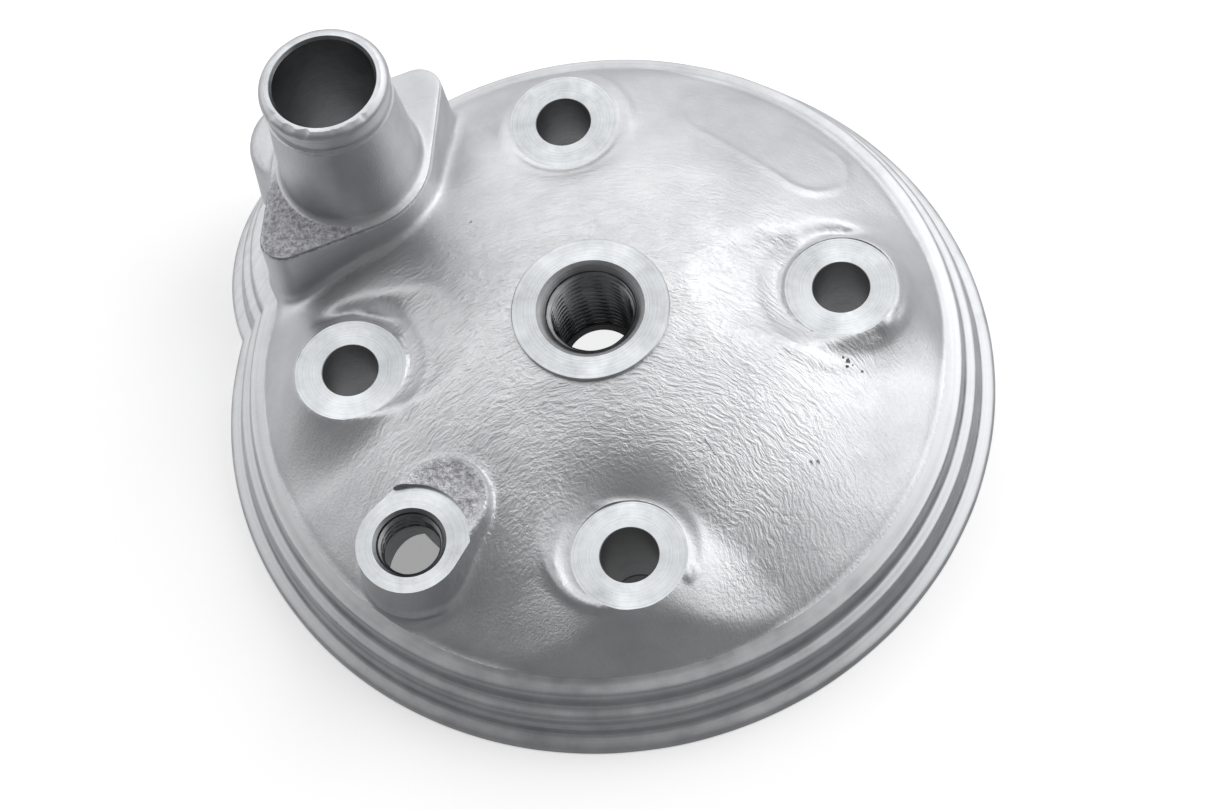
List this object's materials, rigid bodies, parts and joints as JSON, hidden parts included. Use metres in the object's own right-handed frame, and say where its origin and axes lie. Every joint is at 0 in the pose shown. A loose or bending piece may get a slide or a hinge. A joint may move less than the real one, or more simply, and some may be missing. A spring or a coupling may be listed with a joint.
{
  "type": "cylinder head",
  "caption": "Round liquid-cooled two-stroke cylinder head with a domed top, a central threaded plug hole, stud holes, a sensor boss and a coolant outlet neck.",
  "frame": {"origin": "on the bore axis in the plane of the gasket face, which is the lowest plane of the head", "axes": "+Z along the bore axis, from the combustion chamber towards the spark plug; the stud holes lie on +X, +Y, -X and -Y; the coolant outlet is on the diagonal between -X and +Y"},
  "size_m": [0.127, 0.127, 0.05],
  "materials": {
    "cast_aluminium": "as cast, with machined seats and faces",
    "insert_steel": "machined and threaded",
    "seal_rubber": "moulded matt black"
  },
  "bodies": {
    "root": {"head_casting": "cast_aluminium", "plug_thread_insert": "insert_steel", "sensor_thread_insert": "insert_steel", "chamber_seal_ring": "seal_rubber", "jacket_seal_ring": "seal_rubber", "stud_seal_ring_1": "seal_rubber", "stud_seal_ring_2": "seal_rubber", "stud_seal_ring_3": "seal_rubber", "stud_seal_ring_4": "seal_rubber"}
  },
  "joints": []
}
